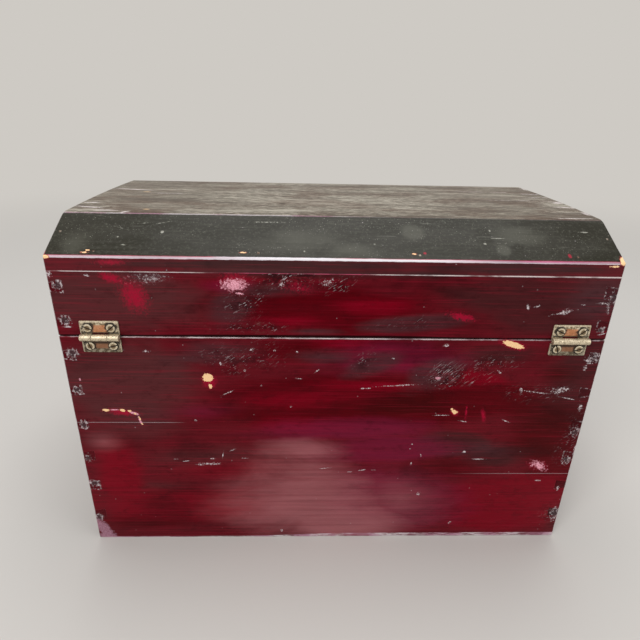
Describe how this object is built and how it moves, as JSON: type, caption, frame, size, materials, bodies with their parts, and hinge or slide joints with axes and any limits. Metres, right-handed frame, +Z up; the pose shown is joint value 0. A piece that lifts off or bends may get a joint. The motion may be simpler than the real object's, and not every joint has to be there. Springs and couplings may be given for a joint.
{
  "type": "lacquered trunk with a hinged canted lid",
  "caption": "Small dovetailed wooden trunk with a canted lid on two back hinges, for papers and keepsakes, in worn dark red lacquer.",
  "frame": {"origin": "middle of the footprint of the boards, on the underside", "axes": "+X along the trunk, +Y from the hinged back to the front, +Z up"},
  "size_m": [0.43, 0.2721, 0.2968],
  "materials": {
    "maroon_lacquer": "brushed dark red lacquer over wood, glossy, worn at the edges",
    "green_black_lacquer": "greenish black lacquer over wood, dusty and scuffed",
    "iron_nails": "dull iron wire",
    "hinge_brass": "pale worn brass with grime",
    "screw_brass": "tarnished slotted heads",
    "catch_brass": "old brass, rubbed bright on its edges"
  },
  "bodies": {
    "base": {"back_plank_lower": "maroon_lacquer", "back_plank_middle": "maroon_lacquer", "back_plank_upper": "maroon_lacquer", "front_plank_lower": "maroon_lacquer", "front_plank_middle": "maroon_lacquer", "front_plank_upper": "maroon_lacquer", "left_plank_lower": "maroon_lacquer", "left_plank_upper": "maroon_lacquer", "right_plank_lower": "maroon_lacquer", "right_plank_upper": "maroon_lacquer", "bottom_board_rear": "maroon_lacquer", "bottom_board_front": "maroon_lacquer", "bottom_nails": "iron_nails", "hinge_left_lower_leaf": "hinge_brass", "hinge_left_lower_screws": "screw_brass", "hinge_right_lower_leaf": "hinge_brass", "hinge_right_lower_screws": "screw_brass", "catch_washer": "catch_brass", "catch_pivot": "catch_brass"},
    "lid": {"lid_rear_rail": "maroon_lacquer", "lid_front_rail": "maroon_lacquer", "lid_left_gable": "maroon_lacquer", "lid_right_gable": "maroon_lacquer", "lid_rear_slope": "green_black_lacquer", "lid_front_slope": "green_black_lacquer", "lid_top_board": "green_black_lacquer", "rear_slope_brads": "iron_nails", "front_slope_brads": "iron_nails", "top_board_brads": "iron_nails", "hinge_left_upper_leaf": "hinge_brass", "hinge_left_upper_screws": "screw_brass", "hinge_left_pin": "hinge_brass", "hinge_right_upper_leaf": "hinge_brass", "hinge_right_upper_screws": "screw_brass", "hinge_right_pin": "hinge_brass", "catch_peg": "catch_brass"},
    "hook": {"catch_hook": "catch_brass"}
  },
  "joints": [
    {"name": "lid_hinge", "type": "hinge", "parent": "base", "child": "lid", "pos_m": [0, -0.13395, 0.2085], "axis": [1, 0, 0], "range_deg": [0, 180]},
    {"name": "hook_swing", "type": "hinge", "parent": "base", "child": "hook", "pos_m": [0, 0.13275, 0.1882], "axis": [0, 1, 0], "range_deg": [0, 180]}
  ]
}
